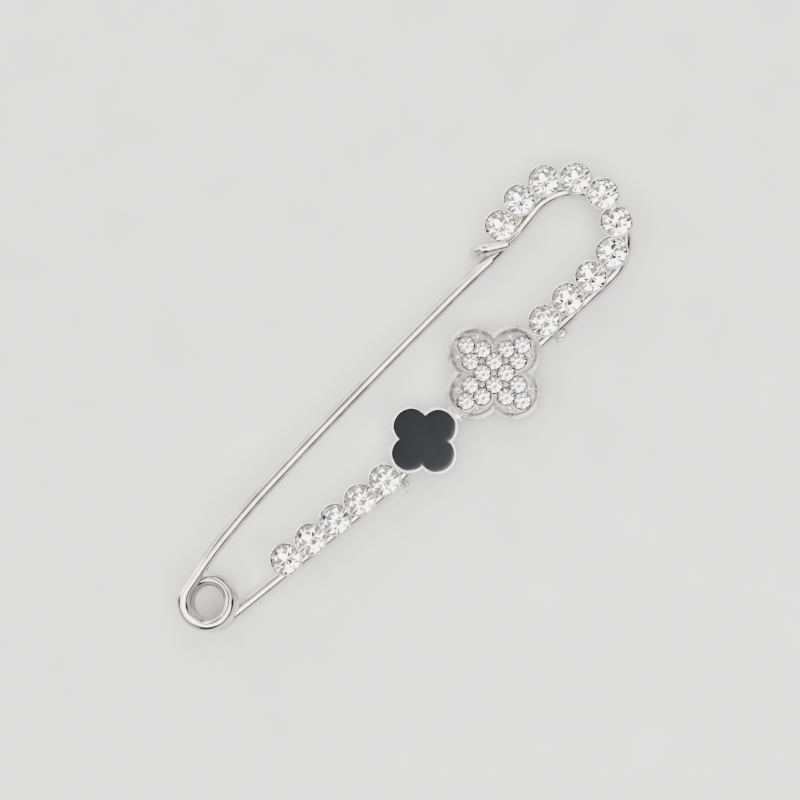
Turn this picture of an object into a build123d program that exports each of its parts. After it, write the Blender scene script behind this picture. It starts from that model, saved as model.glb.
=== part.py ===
"""Kilt-pin brooch: one wire bent into a coil, a frame arm, a crook and a folded catch, with a sprung
needle, and a casting of stone cups and two clover trays soldered along the frame.

Millimetres. X runs from the coil to the crook, Y towards the needle, Z up from the floor on which
the brooch lies on its back. The origin is the coil's axis on the floor.
"""

from build123d import *
import math
import os

os.makedirs("parts", exist_ok=True)

# Wire and coil
wire_d = 1.6
coil_r = 2.85
coil_gap = 0.18
coil_cut_gap = 0.14

# Frame arm: straight down from the coil, up a little under the clovers, then down to the crook
arm_splay = 6.3
arm_lean = 1.7
arm_bend_x = 27.0
arm_middle_x = 39.0
arm_middle_rise = 0.65
arm_foot_x = 52.5
arm_foot_drop = 1.0
arm_settle_run = 2.0
bend_share = 0.45
crook_x = 64.4
crook_r = 6.5
crook_turn = 188.2

# Catch: the crook's end turns under the needle, folds up and comes back over it
catch_x = 57.55
catch_turn = -40.0
catch_bend_r = 3.0
catch_back_run = 1.7
catch_gap = 1.62
catch_front_run = 2.4
catch_tip_d = 1.24

# Needle: bends as shares of the way from the coil to the catch (along, across, down)
needle_exit = 11.0
needle_first_run = 5.7
needle_clearance = 0.2
needle_hook_drop = 0.13
needle_bends = (
    # along, across, down
    (0.235, 0.69, 0.12),
    (0.45, 0.878, 0.36),
    (0.70, 1.007, 0.64),
    (0.92, 1.043, 0.87),
)
needle_taper_run = 5.2
needle_taper_lead = 2.1
needle_tip_d = 0.3
taper_step = 0.02
taper_root = 0.4

# Round stones in cups
glass_d = 3.75
cup_wall = 0.19
stone_gap = 0.06
cup_foot_d = 2.3
cup_foot_z = 1.0
rim_z = 4.05
rim_h = 0.45
crook_stones = 10
crook_row_pitch = 4.01
crook_row_end_x = 54.62
crook_row_shift_x = -0.18
crook_row_shift_y = 1.61
crook_row_spread = 0.23
crook_row_overturn = 2.4
arm_stones = 5
arm_row_pitch = 3.95
arm_row_end_x = 26.45
arm_row_inset = 0.96

# Cut of the stones, as shares of their diameter
facets = 8
table_share = 0.56
crown_share = 0.17
girdle_share = 0.03
pavilion_share = 0.40
culet_share = 0.06
cup_stone_turn = 37.0
pave_stone_turn = 29.0
girdle_drop = 0.12

# Stone-set clover
deck_z = 1.35
pave_x = 45.6
pave_inset = 0.67
pave_lobe_r = 3.5
pave_lobe_offset = 3.48
pave_rim = 0.5
pave_slope = 0.35
pave_recess = 0.62
pave_pitch = 2.1
pave_glass_d = 2.04
pave_stand = 0.1
grain_d = 0.8
grain_along = 4.6
grain_across = 1.72
grain_rise = 0.15

# Enamelled clover
enamel_x = 33.45
enamel_inset = 0.66
enamel_turn = -3.0
enamel_lobe_r = 2.15
enamel_lobe_offset = 2.4
enamel_rim = 0.45
enamel_depth = 0.8
enamel_gap = 0.05
enamel_below = 0.05

# Webs and drops of solder
web_w = 2.3
web_h = 2.4
drop_x = 55.0
drop_len = 2.0
drop_w = 1.1
drop_h = 1.0
drop_reach = 0.85
burr_x = 28.0
burr_d = 0.9
burr_reach = 0.6
burr_rise = 0.22

wire_r = wire_d / 2
coil_pitch = wire_d + coil_gap


def heading(angle, climb=0.0):
    """Unit vector at an angle from +X in plan, with a rise for each unit of its plan length."""
    return Vector(math.cos(math.radians(angle)), math.sin(math.radians(angle)), climb)


def coil_point(half_turn, swing):
    """Point of the coil, swing degrees into one half turn from the bottom (even) or the top (odd)."""
    side = -1 if half_turn % 2 == 0 else 1
    middle = Vector(0, 0, coil_base_z + (half_turn + 0.5) * coil_pitch / 2)
    spoke = Vector(0, side * coil_r, -coil_pitch / 4)
    outward = Vector(side * spoke.length, 0, 0)
    turn = math.radians(swing)
    return middle + spoke * math.cos(turn) + outward * math.sin(turn)


def coil_slope(swing):
    """Climb of the coil's wire for each unit of its length, swing degrees into a half turn."""
    return math.sin(math.radians(swing)) * (coil_pitch / 4) / math.hypot(coil_r, coil_pitch / 4)


def coil_half(half_turn, first=0.0, last=180.0):
    """Half turn of the coil: an exact arc in a tilted plane, level where it meets the next one."""
    swings = (first, (first + last) / 2, last)
    return ThreePointArc(*[coil_point(half_turn, swing) for swing in swings])


def reach(start, way, x):
    """Point on a straight run from start, where it comes to a place along the brooch."""
    return start + way * ((x - start.X) / way.X)


def corner_radii(points):
    """Largest bend for each corner that leaves a tenth of the shorter run straight."""
    radii = []
    for before, here, after in zip(points, points[1:], points[2:]):
        run_in = here - before
        run_out = after - here
        half_bend = math.radians(run_in.get_angle(run_out)) / 2
        radii.append(bend_share * min(run_in.length, run_out.length) / math.tan(half_bend))
    return radii


# Levels of the wire: the first turn settles onto the floor where it becomes the arm
arm_z = wire_r
settle_drop = arm_settle_run * coil_slope(arm_splay)
coil_base_z = arm_z + settle_drop

# Frame arm and crook
arm_start = coil_point(0, arm_splay)
arm_settled = arm_start + heading(-arm_splay) * arm_settle_run
arm_settled = Vector(arm_settled.X, arm_settled.Y, arm_z)
arm_bend = reach(arm_settled, heading(-arm_splay), arm_bend_x)
arm_middle = Vector(arm_middle_x, arm_bend.Y + arm_middle_rise, arm_z)
arm_foot = Vector(arm_foot_x, arm_middle.Y - arm_foot_drop, arm_z)
crook_start = reach(arm_foot, heading(-arm_lean), crook_x)
arm_points = [arm_start, arm_settled, arm_bend, arm_middle, arm_foot, crook_start]
crook_centre = crook_start + heading(90 - arm_lean) * crook_r
crook_end_heading = crook_turn - arm_lean
crook_end = crook_centre + heading(crook_end_heading - 90) * crook_r
leg_corner = reach(crook_end, heading(crook_end_heading), catch_x)
catch_heading = crook_end_heading + catch_turn
catch_rise = (wire_d + catch_gap) / 2
fold_foot = leg_corner + heading(catch_heading) * catch_back_run
fold_top = fold_foot + Vector(0, 0, 2 * catch_rise)
fold_out = fold_foot + heading(catch_heading) * catch_rise + Vector(0, 0, catch_rise)

# Needle route
hook_z = wire_d + needle_clearance + wire_r
needle_start = coil_point(4, 180 - needle_exit)
needle_corner = needle_start + heading(needle_exit, coil_slope(180 - needle_exit)) * needle_first_run
needle_hook = Vector(leg_corner.X - needle_taper_lead, leg_corner.Y - needle_hook_drop, hook_z)


def between(along, across, down):
    """Point of the needle's route from its shares of the way between the coil and the catch."""
    way = needle_hook - needle_start
    return needle_start + Vector(way.X * along, way.Y * across, way.Z * down)


needle_points = [needle_start, needle_corner]
needle_points += [between(along, across, down) for along, across, down in needle_bends]
needle_points += [needle_hook]


def wire_on_arm(x):
    """Y of the frame arm's centre line at a place along it."""
    for before, after in zip(arm_points, arm_points[1:]):
        if x < after.X:
            break
    return before.Y + (after.Y - before.Y) * (x - before.X) / (after.X - before.X)


# Rows of cups: the crook's row is the crook's own shape, wider and shifted; the other follows the arm
row_r = crook_r + crook_row_spread
row_centre = Vector(crook_centre.X + crook_row_shift_x, crook_centre.Y + crook_row_shift_y, 0)
row_foot = row_centre + heading(-90 - arm_lean) * row_r
row_turn = crook_turn + crook_row_overturn


def crook_row(run):
    """Place at a run along the crook's row, measured from where its arc starts."""
    arc_run = row_r * math.radians(row_turn)
    if run < 0:
        return row_foot + heading(-arm_lean) * run
    if run < arc_run:
        return row_centre + heading(math.degrees(run / row_r) - 90 - arm_lean) * row_r
    row_end = row_centre + heading(row_turn - 90 - arm_lean) * row_r
    return row_end + heading(row_turn - arm_lean) * (run - arc_run)


row_start_run = (crook_row_end_x - row_foot.X) / math.cos(math.radians(arm_lean))
crook_cups = [crook_row(row_start_run + crook_row_pitch * k) for k in range(crook_stones)]
arm_row_start = Vector(arm_row_end_x, wire_on_arm(arm_row_end_x) + arm_row_inset, 0)
arm_cups = [arm_row_start - heading(-arm_splay) * (arm_row_pitch * k) for k in range(arm_stones)]
cups = crook_cups[::-1] + arm_cups

# Clovers: each stands on the arm
pave_centre = Vector(pave_x, wire_on_arm(pave_x) + pave_inset, 0)
enamel_centre = Vector(enamel_x, wire_on_arm(enamel_x) + enamel_inset, 0)
pave_floor_z = rim_z - pave_recess
pave_tip = 1.5 * pave_pitch + pave_pitch * math.sqrt(3) / 2
pave_quarter = [
    Vector(pave_pitch / 2, pave_pitch / 2),
    Vector(pave_pitch * 1.5, pave_pitch / 2),
    Vector(pave_pitch * 1.5, -pave_pitch / 2),
    Vector(pave_tip, 0),
]
pave_spots = [pave_centre + spot.rotate(Axis.Z, 90 * q) for q in range(4) for spot in pave_quarter]
grain_quarter = [Vector(grain_along, side * grain_across) for side in (-1, 1)]
grain_spots = [pave_centre + spot.rotate(Axis.Z, 90 * q) for q in range(4) for spot in grain_quarter]

# Cups, stones and enamel
cup_r = glass_d / 2 + stone_gap + cup_wall
girdle_z = rim_z - girdle_drop
pave_girdle_z = pave_floor_z + pave_stand + pave_glass_d * girdle_share
enamel_floor_z = rim_z - enamel_depth + enamel_gap
LOW = (Align.CENTER, Align.CENTER, Align.MIN)


def culet_depth(diameter, girdle_top):
    """Height of a stone's lower end, below the top of its girdle."""
    return girdle_top - (girdle_share + pavilion_share) * diameter


culet_z = culet_depth(glass_d, girdle_z)
pave_culet_z = culet_depth(pave_glass_d, pave_girdle_z)
pave_culet_r = pave_glass_d * culet_share / 2 + stone_gap
pave_seat_r = pave_glass_d / 2 + stone_gap
pave_seat_h = pave_glass_d * pavilion_share + stone_gap
pave_recess_r = pave_lobe_r - pave_rim


def clover(lobe_r, lobe_offset):
    """Four-lobed outline about the sketch's origin: four circles and the square between them."""
    for quarter in range(4):
        place = heading(90 * quarter) * lobe_offset
        with Locations((place.X, place.Y)):
            Circle(lobe_r)
    Rectangle(2 * lobe_offset, 2 * lobe_offset, rotation=45)


def taper(base, way, tip_r, run):
    """Wire ground down from base to a rounded end, a run further on, rooted a little inside the full wire."""
    ground_r = wire_r - taper_step
    with BuildPart() as point:
        with BuildSketch(Plane(base, x_dir=way, z_dir=Vector(0, 0, 1).cross(way))):
            with BuildLine():
                root = -taper_root
                Polyline((run + tip_r, 0), (root, 0), (root, ground_r), (0, ground_r), (run, tip_r))
                CenterArc((run, 0), tip_r, 0, 90)
            make_face()
        revolve(axis=Axis(base, way))
    return point


def stone(spot, diameter, girdle_top, turn):
    """Eight-sided stone turned about its own axis: its girdle, then its crown and pavilion from it."""
    r = diameter / 2
    girdle_low = girdle_top - girdle_share * diameter
    slopes = (
        (girdle_top, girdle_top + crown_share * diameter, r * table_share),
        (girdle_low, culet_depth(diameter, girdle_top), r * culet_share),
    )
    with BuildPart() as cut:
        with BuildSketch(Plane(spot + Vector(0, 0, girdle_low), x_dir=heading(turn))):
            RegularPolygon(r, facets)
        extrude(amount=girdle_top - girdle_low)
        for wide_z, narrow_z, narrow_r in slopes:
            with BuildSketch(Plane(spot + Vector(0, 0, wide_z), x_dir=heading(turn))):
                RegularPolygon(r, facets)
            with BuildSketch(Plane(spot + Vector(0, 0, narrow_z), x_dir=heading(turn))):
                RegularPolygon(narrow_r, facets)
            loft()
    return cut


# Cup: a cone up to a short straight rim, and the seat that its stone lies in
with BuildPart() as cup_body:
    with BuildSketch(Plane.XZ):
        with BuildLine():
            Polyline(
                (0, cup_foot_z),
                (cup_foot_d / 2, cup_foot_z),
                (cup_r, rim_z - rim_h),
                (cup_r, rim_z),
                (0, rim_z),
                close=True,
            )
        make_face()
    revolve(axis=Axis.Z)

with BuildPart() as cup_seat:
    with BuildSketch(Plane.XZ):
        with BuildLine():
            Polyline(
                (0, culet_z - stone_gap),
                (glass_d * culet_share / 2 + stone_gap, culet_z - stone_gap),
                (glass_d / 2 + stone_gap, girdle_z - girdle_share * glass_d),
                (glass_d / 2 + stone_gap, rim_z + glass_d),
                (0, rim_z + glass_d),
                close=True,
            )
        make_face()
    revolve(axis=Axis.Z)

catch_front = taper(fold_top, -heading(catch_heading), catch_tip_d / 2, catch_front_run)
needle_way = (needle_points[-1] - needle_points[-2]).normalized()
needle_point = taper(needle_hook, needle_way, needle_tip_d / 2, needle_taper_run)

# Wire of the frame: lower turns of the coil, arm, crook, and catch up to the top of its fold
with BuildPart() as soldered_frame:
    with BuildLine() as frame_route:
        coil_half(2)
        coil_half(1)
        coil_half(0, first=arm_splay)
        FilletPolyline(*arm_points, radius=corner_radii(arm_points))
        ThreePointArc(
            crook_start,
            crook_centre + heading(crook_turn / 2 - 90 - arm_lean) * crook_r,
            crook_end,
        )
        FilletPolyline(crook_end, leg_corner, fold_foot, radius=catch_bend_r)
        ThreePointArc(fold_foot, fold_out, fold_top)
    with BuildSketch(Plane(frame_route.line @ 0, z_dir=frame_route.line % 0)):
        Circle(wire_r)
    sweep(path=frame_route.line)

    # Front of the catch: tapers to the first cup, to which it is soldered
    add(catch_front.part)

    # Clover trays
    with BuildSketch(Plane(pave_centre + Vector(0, 0, deck_z))):
        clover(pave_lobe_r, pave_lobe_offset)
    extrude(amount=rim_z - deck_z)
    with BuildSketch(Plane(enamel_centre + Vector(0, 0, deck_z), x_dir=heading(enamel_turn))):
        clover(enamel_lobe_r + enamel_rim, enamel_lobe_offset)
    extrude(amount=rim_z - deck_z)

    # Web between the trays
    web_from = enamel_centre.X + enamel_lobe_offset
    web_to = pave_centre.X - pave_lobe_offset
    web_x = (web_from + web_to) / 2
    with Locations((web_x, wire_on_arm(web_x), deck_z)):
        Box(web_to - web_from, web_w, web_h, align=(Align.CENTER, Align.CENTER, Align.MIN))

    # Cups
    with Locations(*cups):
        add(cup_body.part)

    # Solder drops beside the arm
    drop_y = wire_on_arm(drop_x) - wire_r - drop_reach + drop_w / 2
    with BuildSketch(Plane((drop_x, drop_y, arm_z - drop_h / 2))):
        SlotOverall(drop_len, drop_w)
    extrude(amount=drop_h)
    burr_y = wire_on_arm(burr_x) - wire_r - burr_reach + burr_d / 2
    with Locations((burr_x, burr_y, arm_z + burr_rise)):
        Sphere(burr_d / 2)

    # Seats of the cup stones
    with Locations(*cups):
        add(cup_seat.part, mode=Mode.SUBTRACT)

    # Recess of the stone-set tray: sloping walls round a flat floor, with a seat for each stone
    for quarter in range(4):
        lobe = pave_centre + heading(90 * quarter) * pave_lobe_offset
        with Locations((lobe.X, lobe.Y, pave_floor_z)):
            Cone(pave_recess_r - pave_slope, pave_recess_r, pave_recess, align=LOW, mode=Mode.SUBTRACT)
    with BuildSketch(Plane(pave_centre + Vector(0, 0, pave_floor_z))):
        Rectangle(2 * pave_lobe_offset, 2 * pave_lobe_offset, rotation=45)
    extrude(amount=pave_recess, mode=Mode.SUBTRACT)
    with Locations(*[spot + Vector(0, 0, pave_culet_z - stone_gap) for spot in pave_spots]):
        Cone(pave_culet_r, pave_seat_r, pave_seat_h, align=LOW, mode=Mode.SUBTRACT)
    with Locations(*[spot + Vector(0, 0, pave_floor_z + grain_d * grain_rise) for spot in grain_spots]):
        Sphere(grain_d / 2)

    # Recess of the enamelled tray
    with BuildSketch(Plane(enamel_centre + Vector(0, 0, rim_z), x_dir=heading(enamel_turn))):
        clover(enamel_lobe_r, enamel_lobe_offset)
    extrude(amount=-enamel_depth, mode=Mode.SUBTRACT)

soldered_frame.part.label = "soldered_frame"
export_step(soldered_frame.part, "parts/soldered_frame.step")

# Needle: upper turns of the coil, the sprung arm and its point
with BuildPart() as needle:
    with BuildLine() as needle_route:
        coil_half(3, first=math.degrees(coil_cut_gap / coil_r))
        coil_half(4, last=180 - needle_exit)
        FilletPolyline(*needle_points, radius=corner_radii(needle_points))
    with BuildSketch(Plane(needle_route.line @ 0, z_dir=needle_route.line % 0)):
        Circle(wire_r)
    sweep(path=needle_route.line)
    add(needle_point.part)
needle.part.label = "needle"
export_step(needle.part, "parts/needle.step")

# Enamel: fills the plain clover's recess, just below its rim
with BuildPart() as enamel:
    with BuildSketch(Plane(enamel_centre + Vector(0, 0, enamel_floor_z), x_dir=heading(enamel_turn))):
        clover(enamel_lobe_r - enamel_gap, enamel_lobe_offset)
    extrude(amount=enamel_depth - enamel_gap - enamel_below)
enamel.part.label = "enamel"
export_step(enamel.part, "parts/enamel.step")

# Stones, each turned a little differently in its cup
for number, spot in enumerate(cups, start=1):
    crystal = stone(spot, glass_d, girdle_z, cup_stone_turn * number)
    crystal.part.label = f"crystal_{number:02d}"
    export_step(crystal.part, f"parts/crystal_{number:02d}.step")

for number, spot in enumerate(pave_spots, start=1):
    crystal = stone(spot, pave_glass_d, pave_girdle_z, pave_stone_turn * number)
    crystal.part.label = f"pave_crystal_{number:02d}"
    export_step(crystal.part, f"parts/pave_crystal_{number:02d}.step")
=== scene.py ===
# %% [markdown]
# # A kilt-pin brooch, dressed in Blender
#
# The real object is a large safety pin. One length of steel wire is bent into a coil, a frame arm, a
# crook and a folded catch, and the other end of the same wire is the sprung needle. A row of cast cups and
# two clover trays are soldered along the frame, then everything is plated to a bright white silver, glass
# stones are set, and one clover is filled with black enamel.
#
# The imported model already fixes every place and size. This lesson loads it, and makes each piece again as
# a fine surface that is worked out with numpy, because a polished wire shows every facet of a coarse mesh.
#
# Sizes are in millimetres, and one factor turns them into Blender's metres. X runs from the coil to the
# crook, Y towards the needle, and Z up from the table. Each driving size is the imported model's own, and is
# given where it is first needed.

# %% Load the frame
import bmesh
import bpy
import numpy as np
from mathutils import Matrix, Vector


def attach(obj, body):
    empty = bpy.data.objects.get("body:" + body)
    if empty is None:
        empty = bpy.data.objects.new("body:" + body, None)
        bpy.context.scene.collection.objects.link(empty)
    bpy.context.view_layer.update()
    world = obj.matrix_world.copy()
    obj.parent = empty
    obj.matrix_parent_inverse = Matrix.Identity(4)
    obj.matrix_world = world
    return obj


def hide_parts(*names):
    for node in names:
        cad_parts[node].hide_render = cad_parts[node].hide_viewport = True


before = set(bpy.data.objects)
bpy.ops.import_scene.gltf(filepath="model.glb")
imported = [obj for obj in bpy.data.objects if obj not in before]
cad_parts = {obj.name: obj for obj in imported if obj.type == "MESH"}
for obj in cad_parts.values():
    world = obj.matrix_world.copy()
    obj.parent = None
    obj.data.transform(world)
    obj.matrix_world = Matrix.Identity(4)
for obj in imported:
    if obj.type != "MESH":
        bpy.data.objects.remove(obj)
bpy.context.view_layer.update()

MM = 0.001

# %% [markdown]
# ## Camera
#
# The photograph looks almost straight down on the brooch, which lies on its back. The camera leans by a
# few degrees towards the decorated side, so that the walls of the cups just show, and it is rolled so that
# the brooch runs from the lower left to the upper right. A long lens from about 28 cm gives the
# photograph's slight perspective: things nearer the lens are one or two percent larger.

# %% Camera
CAMERA_LEAN = 8.9
CAMERA_ROLL = 45.0
CAMERA_DISTANCE = 280.0
FRAME_WIDTH = 100.0
AIM = np.array([34.9, 0.845, 4.2])
SENSOR = 36.0
CLIP_METRES = (0.01, 10.0)


def add_camera(aim, lean, roll, distance, width):
    """Camera at a distance from aim, leaning to -Y, with the brooch's X turned by roll on the picture."""
    lean, roll = np.radians(lean), np.radians(roll)
    back = np.array([0.0, -np.sin(lean), np.cos(lean)])
    along = np.array([1.0, 0.0, 0.0])
    across = np.cross(back, along)
    right = along * np.cos(roll) - across * np.sin(roll)
    up = along * np.sin(roll) + across * np.cos(roll)
    place = (aim + back * distance) * MM
    turn = Matrix((right, up, back)).transposed()
    data = bpy.data.cameras.new("photo_camera")
    data.sensor_width = SENSOR
    data.lens = SENSOR * distance / width
    data.clip_start, data.clip_end = CLIP_METRES
    camera = bpy.data.objects.new("photo_camera", data)
    camera.matrix_world = Matrix.Translation(place) @ turn.to_4x4()
    bpy.context.scene.collection.objects.link(camera)
    bpy.context.scene.camera = camera


add_camera(AIM, CAMERA_LEAN, CAMERA_ROLL, CAMERA_DISTANCE, FRAME_WIDTH)
print("lens in mm:", round(bpy.context.scene.camera.data.lens, 1))

# %% [markdown]
# ## One function for colours, one for nodes
#
# Every colour is picked as an sRGB hex value, as a paint chart or an image editor gives it, and Blender
# wants linear light, so one function converts. A second small function adds a node with its settings and
# links, whatever its kind, which keeps each material a short list of what it is made of.

# %% Colour and node helpers


def colour(hex_value):
    """Linear RGBA of an sRGB hex value: c / 12.92 near black, ((c + 0.055) / 1.055) to the 2.4 above."""
    c = np.array([int(hex_value[i:i + 2], 16) for i in (1, 3, 5)]) / 255
    linear = np.where(c <= 0.04045, c / 12.92, ((c + 0.055) / 1.055) ** 2.4)
    return (*linear, 1.0)


def new_material(name):
    """Empty node material and its tree."""
    material = bpy.data.materials.new(name)
    material.use_nodes = True
    material.node_tree.nodes.clear()
    return material, material.node_tree


def node(tree, kind, stops=(), **sockets):
    """Adds a node. A socket gets a value or another node's output, and a ramp (position, hex) stops."""
    made = tree.nodes.new(kind)
    for key, value in sockets.items():
        socket = made.inputs[key.replace("_", " ")]
        if isinstance(value, bpy.types.NodeSocket):
            tree.links.new(value, socket)
        else:
            socket.default_value = value
    if stops:
        elements = made.color_ramp.elements
        while len(elements) < len(stops):
            elements.new(0.5)
        for element, (position, hex_value) in zip(elements, stops):
            element.position = position
            element.color = colour(hex_value)
    return made


def per_metre(size_mm):
    """Texture scale whose cells are about size_mm across, on coordinates in metres."""
    return 1 / (size_mm * MM)


print("a middle grey, #808080, in linear light:", round(float(colour("#808080")[0]), 3))

# %% [markdown]
# ## The plated wire
#
# Rhodium-like plating over drawn steel wire is a mirror with a faint warmth. A metal has no diffuse
# colour, so its look is its tint, its roughness and the bumps that bend what it reflects. Drawing leaves
# hair-fine marks, far too fine for this picture, so they are drawn a quarter of a millimetre across, and
# bending leaves a slow waviness some millimetres long.

# %% Plated wire
WIRE_LIGHT = "#DAD6D0"
WIRE_DARK = "#ABA7A1"
WAVE_LENGTH = 3.0
WAVE_DEPTH = 0.1
MARK_WIDTH = 0.25
MARK_DEPTH = 0.02


def plated_wire():
    """Bright plated wire. The eye gets long, clean highlights that waver a little along their length."""
    material, tree = new_material("bright_plated_wire")
    place = node(tree, "ShaderNodeTexCoord").outputs["Object"]
    wave = node(tree, "ShaderNodeTexNoise", Vector=place, Scale=per_metre(WAVE_LENGTH), Detail=2.0)
    marks = node(
        tree, "ShaderNodeTexNoise", Vector=place, Scale=per_metre(MARK_WIDTH), Detail=4.0, Roughness=0.6
    )
    tint = node(
        tree, "ShaderNodeValToRGB", [(0.3, WIRE_DARK), (0.6, WIRE_LIGHT)], Fac=wave.outputs["Fac"]
    )
    soft = node(tree, "ShaderNodeMapRange", Value=marks.outputs["Fac"], To_Min=0.10, To_Max=0.20)
    slow = node(
        tree, "ShaderNodeBump", Strength=0.15, Distance=WAVE_DEPTH * MM, Height=wave.outputs["Fac"]
    )
    fine = node(
        tree, "ShaderNodeBump", Strength=0.08, Distance=MARK_DEPTH * MM, Height=marks.outputs["Fac"],
        Normal=slow.outputs[0],
    )
    metal = node(
        tree, "ShaderNodeBsdfPrincipled", Base_Color=tint.outputs[0], Metallic=1.0,
        Roughness=soft.outputs[0], Normal=fine.outputs[0],
    )
    node(tree, "ShaderNodeOutputMaterial", Surface=metal.outputs[0])
    return material


WIRE_METAL = plated_wire()
print("made", WIRE_METAL.name)

# %% [markdown]
# ## The plated casting
#
# The cups and trays are cast in a zinc alloy and plated like the wire. A casting keeps the orange-peel of
# its mould and small pits, so its highlights break up. They could be modelled, but they are so shallow that
# a bump does as well. The floors are painted greyer and the wells darker, as painted shade in the recesses,
# so the same recipe is mixed in three pairs of tints.

# %% Plated casting
PEEL_SIZE = 0.6
PEEL_DEPTH = 0.1
PIT_SIZE = 0.5
PIT_DEPTH = 0.03


def plated_casting(name, light, dark):
    """Plated casting between two tints. The eye gets broken highlights, as on fine orange-peel."""
    material, tree = new_material(name)
    place = node(tree, "ShaderNodeTexCoord").outputs["Object"]
    peel = node(
        tree, "ShaderNodeTexNoise", Vector=place, Scale=per_metre(PEEL_SIZE), Detail=3.0, Roughness=0.55
    )
    pits = node(tree, "ShaderNodeTexVoronoi", Vector=place, Scale=per_metre(PIT_SIZE))
    tint = node(tree, "ShaderNodeValToRGB", [(0.32, dark), (0.55, light)], Fac=peel.outputs["Fac"])
    soft = node(tree, "ShaderNodeMapRange", Value=peel.outputs["Fac"], To_Min=0.30, To_Max=0.20)
    deep = node(tree, "ShaderNodeMapRange", Value=pits.outputs["Distance"], From_Max=0.35)
    coarse = node(
        tree, "ShaderNodeBump", Strength=0.18, Distance=PEEL_DEPTH * MM, Height=peel.outputs["Fac"]
    )
    small = node(
        tree, "ShaderNodeBump", Strength=0.12, Distance=PIT_DEPTH * MM, Height=deep.outputs[0],
        Normal=coarse.outputs[0],
    )
    metal = node(
        tree, "ShaderNodeBsdfPrincipled", Base_Color=tint.outputs[0], Metallic=1.0,
        Roughness=soft.outputs[0], Normal=small.outputs[0],
    )
    node(tree, "ShaderNodeOutputMaterial", Surface=metal.outputs[0])
    return material


CAST_METAL = plated_casting("bright_plated_casting", "#E8E5E0", "#CBC7C1")
# greyer tints painted as shade onto the floors that lie lower than the rims
PAINTED_SHADE_FLOOR = plated_casting("painted_shade_floor", "#BDB9B3", "#918D87")
# dark tints painted as shade into the seats under the stones and into the wells of the bed
PAINTED_SHADE_HOLLOW = plated_casting("painted_shade_hollow", "#6E6A65", "#3E3B38")
print("made", CAST_METAL.name, "and", PAINTED_SHADE_FLOOR.name, "and", PAINTED_SHADE_HOLLOW.name)

# %% [markdown]
# ## Surfaces from arrays
#
# A wire is a circle carried along a route, a cup is a profile turned about an upright axis, and a clover
# tray is the same profile turned about its middle while its distance from the middle follows four joined
# circles. Each is a grid of points, so one function turns any grid into faces. Rows run along the route or
# the profile, and columns run round.

# %% Grid helpers


def unit(vectors):
    """Vectors divided by their own lengths."""
    return vectors / np.linalg.norm(vectors, axis=-1, keepdims=True)


def heading(angle, climb=0.0):
    """Direction at an angle from +X in plan: (cos, sin, climb), the climb being for each unit in plan."""
    turn = np.radians(angle)
    return np.array([np.cos(turn), np.sin(turn), climb])


def grid_faces(rows, columns, around):
    """Quads of a grid: each joins a point, its neighbour round the row, and both their followers."""
    i, j = np.meshgrid(np.arange(rows - 1), np.arange(columns if around else columns - 1), indexing="ij")
    k = (j + 1) % columns
    here, next_row = i * columns, (i + 1) * columns
    return np.stack([here + j, here + k, next_row + k, next_row + j], -1).reshape(-1, 4)


def closed_shell(grid):
    """Points and faces of a grid that is joined round its rows, with a flat face over each end."""
    rows, columns = grid.shape[:2]
    ends = [list(range(columns))[::-1], list(range((rows - 1) * columns, rows * columns))]
    return grid.reshape(-1, 3), grid_faces(rows, columns, True).tolist() + ends


def join_shells(shells):
    """One list of points and faces from several shells."""
    points = np.concatenate([shell_points for shell_points, shell_faces in shells])
    faces = []
    start = 0
    for shell_points, shell_faces in shells:
        faces += [[start + corner for corner in face] for face in shell_faces]
        start += len(shell_points)
    return points, faces


print("a ring of 3 rows and 8 columns has", len(grid_faces(3, 8, True)), "faces between its rows")

# %% [markdown]
# ## Pieces
#
# A piece is one mesh object. It rides on a body of the imported model, takes its materials, and stands for
# the imported nodes that it replaces. Edges sharper than an angle stay crisp, and the rest is smooth. A
# second material can be painted on chosen faces, such as the inside of a cup.

# %% Piece helpers
SHARP_ANGLE = 38.0


def add_piece(name, shell, materials, body, nodes, sharp_angle=SHARP_ANGLE):
    """Mesh object at the origin from points in mm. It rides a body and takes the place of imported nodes."""
    points, faces = shell
    mesh = bpy.data.meshes.new(name)
    mesh.from_pydata((points * MM).tolist(), [], faces)
    for material in materials:
        mesh.materials.append(material)
    mesh.shade_smooth()
    mesh.set_sharp_from_angle(angle=float(np.radians(sharp_angle)))
    piece = bpy.data.objects.new(name, mesh)
    bpy.context.scene.collection.objects.link(piece)
    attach(piece, body)
    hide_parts(*nodes)
    return piece


def add_soldered(name, shell, materials):
    """Piece of the soldered metal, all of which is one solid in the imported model."""
    return add_piece(name, shell, materials, "frame", ["soldered_frame"])


def paint_faces(piece, chosen):
    """Gives a piece's second material to the chosen faces."""
    piece.data.polygons.foreach_set("material_index", chosen.astype(np.int32))


def describe(piece):
    """Prints a piece's triangles and the volume that it encloses."""
    solid = bmesh.new()
    solid.from_mesh(piece.data)
    volume = solid.calc_volume(signed=True) / MM ** 3
    solid.free()
    triangles = sum(len(face.vertices) - 2 for face in piece.data.polygons)
    print(f"{piece.name}: {triangles} triangles, {volume:.1f} mm3")


print("edges stay crisp above", SHARP_ANGLE, "degrees")

# %% [markdown]
# ## Bends and routes
#
# The real wire is bent cold round pegs: two and a half turns for the coil, then slow bends along the arm,
# a round crook, and a tight fold that makes the catch. The routes are the same arcs and straight runs as
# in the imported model, sampled finely and then spaced evenly along their length, so that highlights
# slide along without a kink.

# %% Bend helpers
ARC_STEPS = 90
ROUTE_STEP = 0.16
BEND_SHARE = 0.45
SAME_PLACE = 1e-6


def turned_by(before, here, after):
    """Angle in radians by which a run turns at a corner."""
    return np.arccos(np.clip(unit(here - before) @ unit(after - here), -1, 1))


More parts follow.
